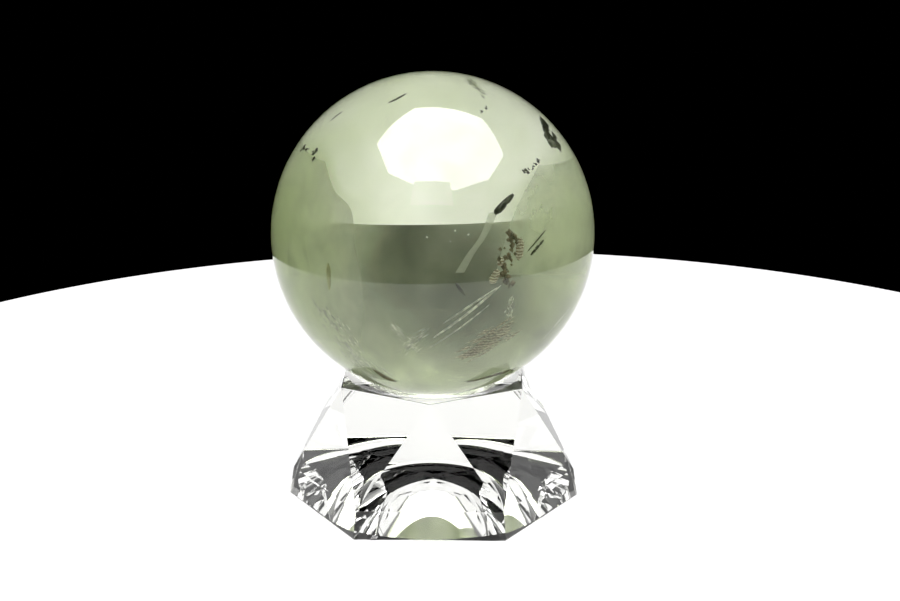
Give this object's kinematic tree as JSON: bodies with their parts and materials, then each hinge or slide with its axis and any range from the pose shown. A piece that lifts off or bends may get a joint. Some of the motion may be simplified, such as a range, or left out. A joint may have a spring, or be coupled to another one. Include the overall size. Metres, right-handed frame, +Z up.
{
  "type": "crystal ball on stand",
  "caption": "Polished natural green quartz sphere resting loose in the dish of a clear six-sided faceted acrylic stand with a hollow underside.",
  "frame": {"origin": "on the surface that the stand rests on, under the ball's centre", "axes": "+Z up through the ball's centre, -Y square to a flat side of the stand's base, +X through a corner of the base"},
  "size_m": [0.056, 0.056, 0.0761],
  "materials": {
    "green_quartz": "polished natural quartz, pale sage green with veils, healed cracks, dark needles and flakes inside",
    "clear_acrylic": "clear moulded acrylic, flame-polished facets and lightly rounded edges"
  },
  "bodies": {
    "stand": {"display_stand": "clear_acrylic"},
    "ball": {"crystal_ball": "green_quartz"}
  },
  "joints": [
    {"name": "ball_lift", "type": "slide", "parent": "stand", "child": "ball", "axis": [0, 0, 1], "range_m": [0, 0.06]}
  ]
}
